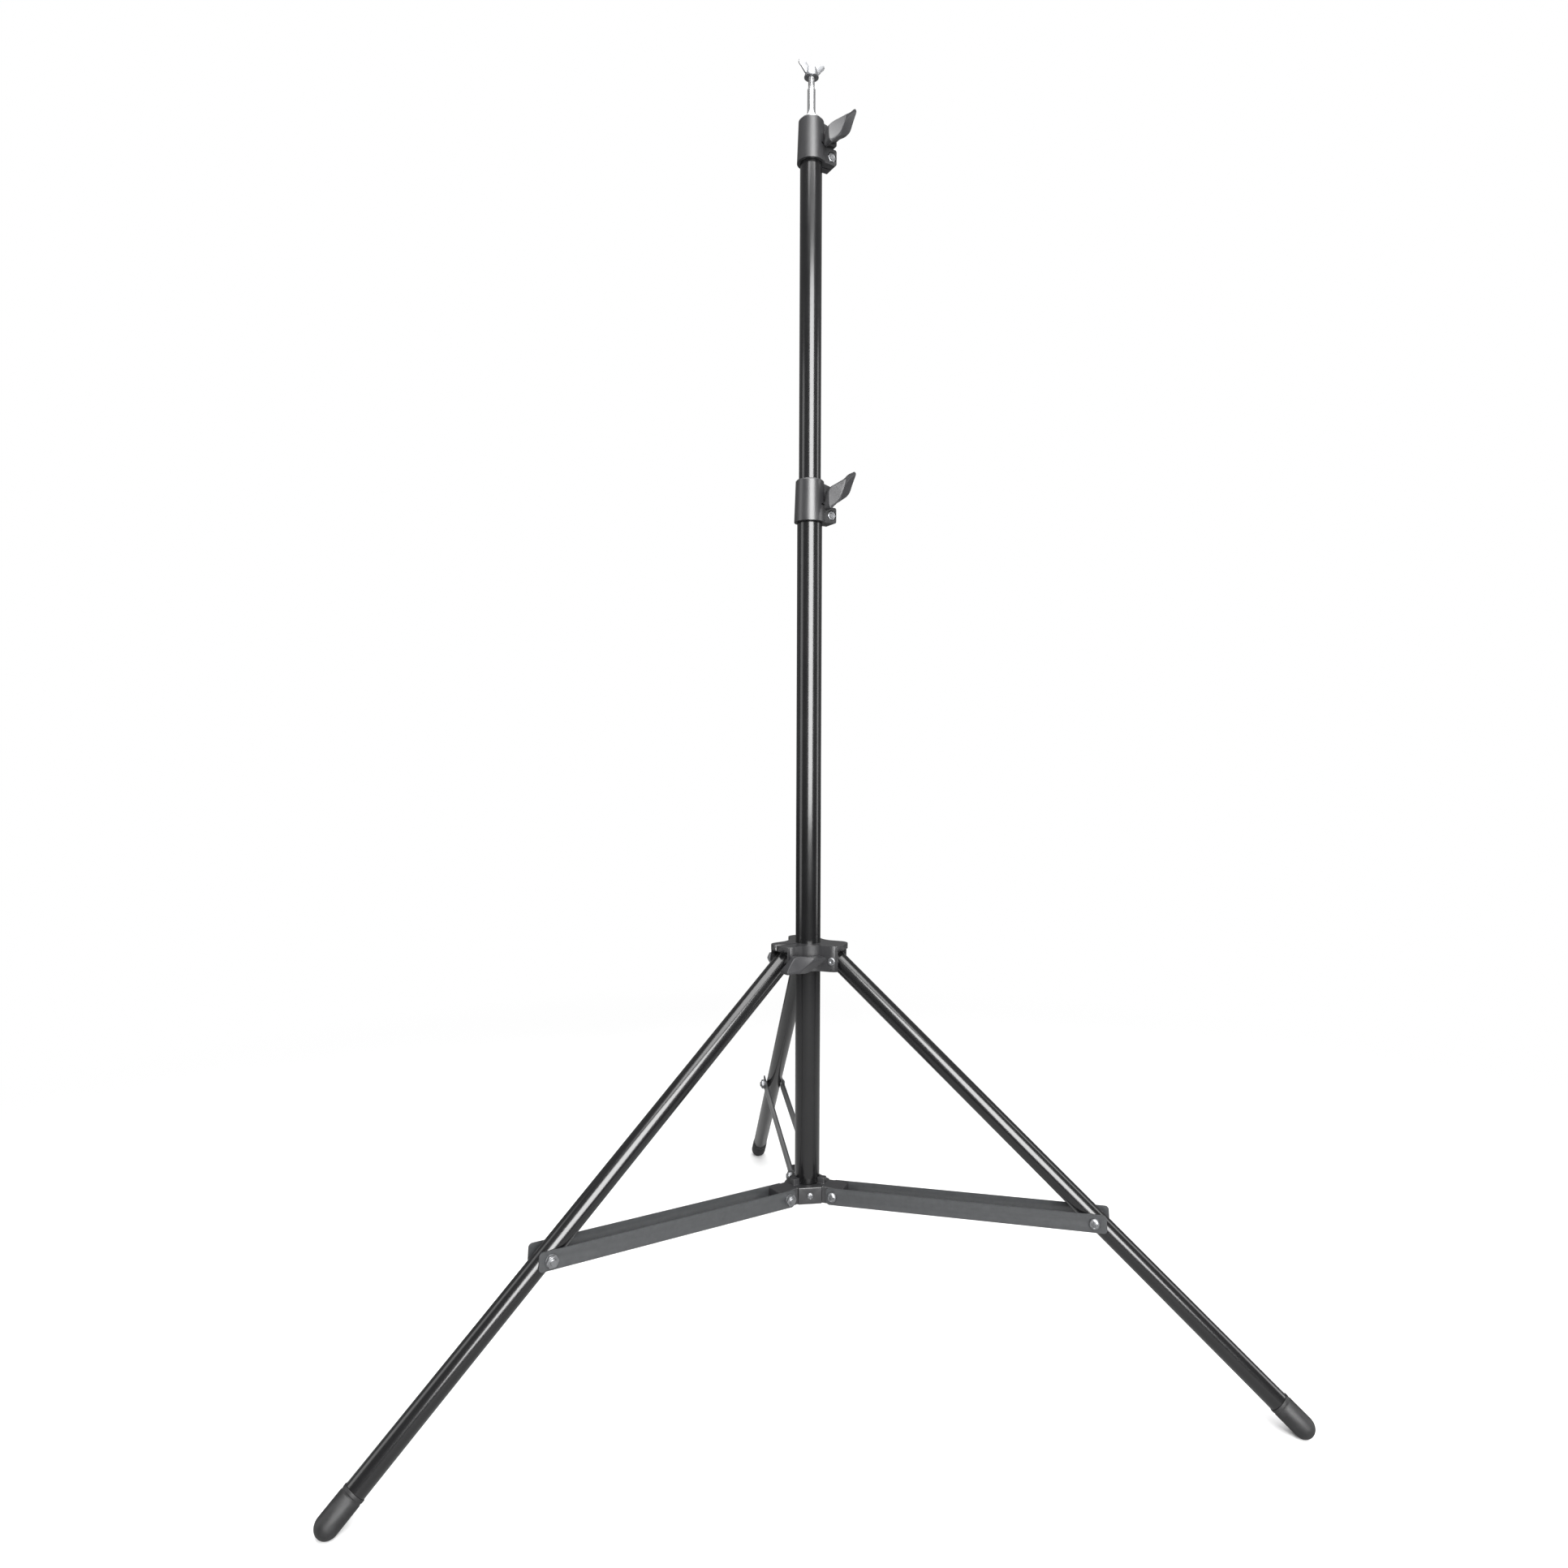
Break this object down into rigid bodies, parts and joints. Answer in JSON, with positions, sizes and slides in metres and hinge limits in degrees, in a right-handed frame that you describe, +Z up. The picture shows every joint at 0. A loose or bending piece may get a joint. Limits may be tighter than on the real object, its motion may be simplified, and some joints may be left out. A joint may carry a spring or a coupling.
{
  "type": "telescopic light stand",
  "caption": "Folding tripod stand with a telescopic column, wing-knob clamps and a threaded top stud for lights or a backdrop bar.",
  "frame": {"origin": "on the floor, on the axis of the column", "axes": "+Z up the column, +Y along the rear leg, +X to the right seen from the front"},
  "size_m": [0.8088, 0.7031, 1.2715],
  "materials": {
    "black_tube": "gloss black enamel",
    "black_plastic": "fine grained black nylon",
    "knob_plastic": "fine grained black nylon",
    "foot_rubber": "dull black rubber",
    "grey_paint": "satin dark grey enamel",
    "bush_plastic": "natural acetal",
    "stud_chrome": "bright chrome",
    "zinc_plate": "bright zinc plate"
  },
  "bodies": {
    "base": {"lower_tube": "black_tube", "hub_body": "black_plastic", "hub_screws": "zinc_plate", "hub_pivot_bolts": "zinc_plate", "hub_pivot_nuts": "zinc_plate", "lower_clamp_body": "black_plastic", "lower_clamp_bolt": "zinc_plate", "lower_clamp_nut": "zinc_plate", "lower_clamp_captive_nut": "zinc_plate"},
    "leg_collar": {"leg_collar_body": "black_plastic", "collar_rivets": "zinc_plate", "collar_captive_nut": "zinc_plate"},
    "left_leg": {"left_leg_tube": "black_tube", "left_leg_plug": "black_plastic", "left_leg_shank": "zinc_plate", "left_foot": "foot_rubber"},
    "right_leg": {"right_leg_tube": "black_tube", "right_leg_plug": "black_plastic", "right_leg_shank": "zinc_plate", "right_foot": "foot_rubber"},
    "rear_leg": {"rear_leg_tube": "black_tube", "rear_leg_plug": "black_plastic", "rear_leg_shank": "zinc_plate", "rear_foot": "foot_rubber"},
    "left_brace": {"left_brace_bars": "grey_paint", "left_brace_bolt": "zinc_plate", "left_brace_nut": "zinc_plate"},
    "right_brace": {"right_brace_bars": "grey_paint", "right_brace_bolt": "zinc_plate", "right_brace_nut": "zinc_plate"},
    "rear_brace": {"rear_brace_bars": "grey_paint", "rear_brace_bolt": "zinc_plate", "rear_brace_nut": "zinc_plate"},
    "middle_slider": {"middle_bush": "bush_plastic"},
    "middle_section": {"middle_tube": "black_tube", "upper_clamp_body": "black_plastic", "upper_clamp_bolt": "zinc_plate", "upper_clamp_nut": "zinc_plate", "upper_clamp_captive_nut": "zinc_plate"},
    "top_slider": {"top_bush": "bush_plastic"},
    "top_section": {"top_tube": "black_tube", "stud_plug": "stud_chrome"},
    "washer": {"stud_washer": "zinc_plate"},
    "wing_nut": {"wing_nut": "zinc_plate"},
    "lower_clamp_knob": {"lower_clamp_knob_grip": "knob_plastic", "lower_clamp_knob_screw": "zinc_plate"},
    "upper_clamp_knob": {"upper_clamp_knob_grip": "knob_plastic", "upper_clamp_knob_screw": "zinc_plate"},
    "collar_knob": {"collar_knob_grip": "knob_plastic", "collar_knob_screw": "zinc_plate"}
  },
  "joints": [
    {"name": "leg_fold", "type": "slide", "parent": "base", "child": "leg_collar", "axis": [0, 0, 1], "range_m": [0, 0.35123]},
    {"name": "left_leg_pivot", "type": "hinge", "parent": "leg_collar", "child": "left_leg", "pos_m": [-0.02685, -0.0155, 0.37836], "axis": [0.5, -0.866, 0], "range_deg": [0, 49]},
    {"name": "right_leg_pivot", "type": "hinge", "parent": "leg_collar", "child": "right_leg", "pos_m": [0.02685, -0.0155, 0.37836], "axis": [0.5, 0.866, 0], "range_deg": [0, 49]},
    {"name": "rear_leg_pivot", "type": "hinge", "parent": "leg_collar", "child": "rear_leg", "pos_m": [0, 0.031, 0.37836], "axis": [-1, 0, 0], "range_deg": [0, 49]},
    {"name": "left_brace_pivot", "type": "hinge", "parent": "base", "child": "left_brace", "pos_m": [-0.02685, -0.0155, 0.143], "axis": [-0.5, 0.866, 0], "range_deg": [0, 86.31]},
    {"name": "right_brace_pivot", "type": "hinge", "parent": "base", "child": "right_brace", "pos_m": [0.02685, -0.0155, 0.143], "axis": [-0.5, -0.866, 0], "range_deg": [0, 86.31]},
    {"name": "rear_brace_pivot", "type": "hinge", "parent": "base", "child": "rear_brace", "pos_m": [0, 0.031, 0.143], "axis": [1, 0, 0], "range_deg": [0, 86.31]},
    {"name": "middle_extend", "type": "slide", "parent": "base", "child": "middle_slider", "axis": [0, 0, 1], "range_m": [-0.312, 0.26]},
    {"name": "middle_swivel", "type": "hinge", "parent": "middle_slider", "child": "middle_section", "pos_m": [0, 0, 1.16875], "axis": [0, 0, 1], "continuous": true},
    {"name": "top_extend", "type": "slide", "parent": "middle_section", "child": "top_slider", "axis": [0, 0, 1], "range_m": [0, 0.56]},
    {"name": "top_swivel", "type": "hinge", "parent": "top_slider", "child": "top_section", "pos_m": [0, 0, 1.21175], "axis": [0, 0, 1], "continuous": true},
    {"name": "wing_nut_lift", "type": "slide", "parent": "top_section", "child": "washer", "axis": [0, 0, 1], "range_m": [0, 0.06]},
    {"name": "wing_nut_spin", "type": "hinge", "parent": "washer", "child": "wing_nut", "pos_m": [0, 0, 1.25425], "axis": [0, 0, 1], "continuous": true},
    {"name": "lower_clamp_knob_turn", "type": "hinge", "parent": "base", "child": "lower_clamp_knob", "pos_m": [0.02257, -0.00076, 0.84275], "axis": [0.3584, -0.9336, 0], "range_deg": [0, 540]},
    {"name": "upper_clamp_knob_turn", "type": "hinge", "parent": "middle_section", "child": "upper_clamp_knob", "pos_m": [0.02117, -0.0013, 1.19775], "axis": [0.3584, -0.9336, 0], "range_deg": [0, 540]},
    {"name": "collar_knob_turn", "type": "hinge", "parent": "leg_collar", "child": "collar_knob", "pos_m": [-0.02685, -0.0155, 0.37836], "axis": [0.5, -0.866, 0], "range_deg": [0, 540]}
  ],
  "couplings": [
    {"joint": "left_leg_pivot", "follows": "leg_fold", "rad_per_m": 2.4348},
    {"joint": "right_leg_pivot", "follows": "leg_fold", "rad_per_m": 2.4348},
    {"joint": "rear_leg_pivot", "follows": "leg_fold", "rad_per_m": 2.4348},
    {"joint": "left_brace_pivot", "follows": "leg_fold", "rad_per_m": 4.289},
    {"joint": "right_brace_pivot", "follows": "leg_fold", "rad_per_m": 4.289},
    {"joint": "rear_brace_pivot", "follows": "leg_fold", "rad_per_m": 4.289}
  ]
}
